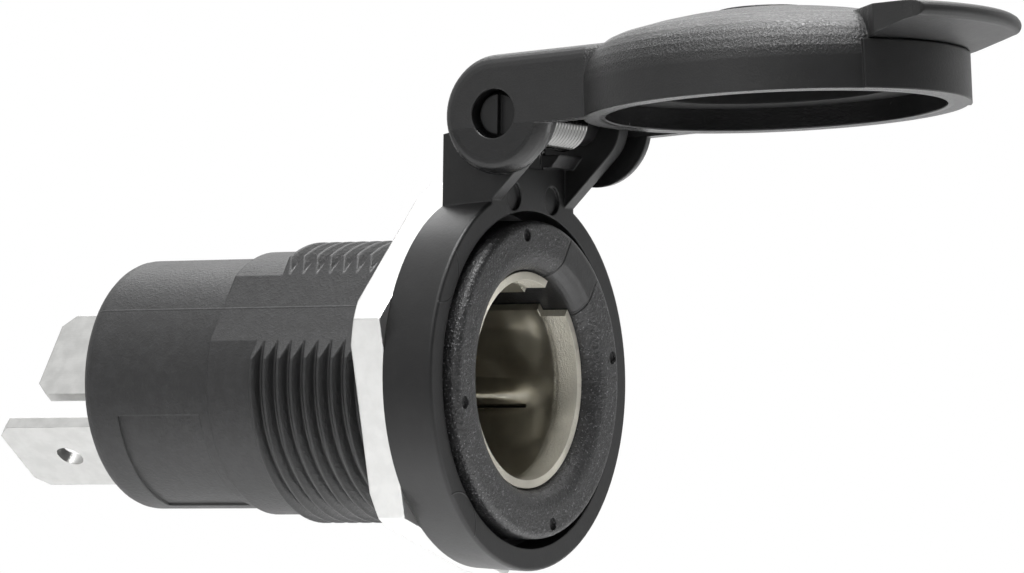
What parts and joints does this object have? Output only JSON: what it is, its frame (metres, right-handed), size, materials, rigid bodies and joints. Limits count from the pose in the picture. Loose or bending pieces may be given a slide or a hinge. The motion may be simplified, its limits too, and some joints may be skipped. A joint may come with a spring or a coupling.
{
  "type": "panel power socket with hinged lid",
  "caption": "Threaded panel socket for a 12 mm plug, with a sprung hinged lid, a clamping nut and blade terminals at the back.",
  "frame": {"origin": "on the socket's axis, in the plane of the hinge ring's back face, which seats on the panel", "axes": "-Y along the axis out of the socket's mouth, +Z towards the hinge, +X to the right seen from the front"},
  "size_m": [0.0246, 0.0692, 0.0351],
  "materials": {
    "glass_filled_nylon": "matte, finely grained",
    "grained_plastic": "matte, spark-eroded grain",
    "black_plastic": "satin",
    "black_rubber": "matte",
    "nickel_plate": "nickel plated, drawn sheet",
    "tinned_brass": "tin plated",
    "plain_brass": "turned",
    "zinc_plate": "bright zinc plated",
    "spring_steel": "bright drawn wire"
  },
  "bodies": {
    "socket": {"housing": "glass_filled_nylon", "contact_sleeve": "nickel_plate", "sleeve_terminal": "tinned_brass", "sleeve_rivet": "plain_brass", "centre_terminal": "tinned_brass", "centre_contact": "plain_brass", "hinge_ring": "black_plastic", "hinge_pin": "black_plastic", "torsion_spring": "spring_steel"},
    "lid": {"lid": "grained_plastic", "lid_seal": "black_rubber"},
    "nut": {"hex_nut": "zinc_plate"}
  },
  "joints": [
    {"name": "lid_hinge", "type": "hinge", "parent": "socket", "child": "lid", "pos_m": [0, -0.00477, 0.0162], "axis": [1, 0, 0], "range_deg": [0, 93.5], "stiffness_Nm_per_rad": 0.002, "springref_deg": -68.75, "deforming": ["torsion_spring"]},
    {"name": "nut_travel", "type": "slide", "parent": "socket", "child": "nut", "axis": [0, 1, 0], "range_m": [0, 0.009]}
  ]
}
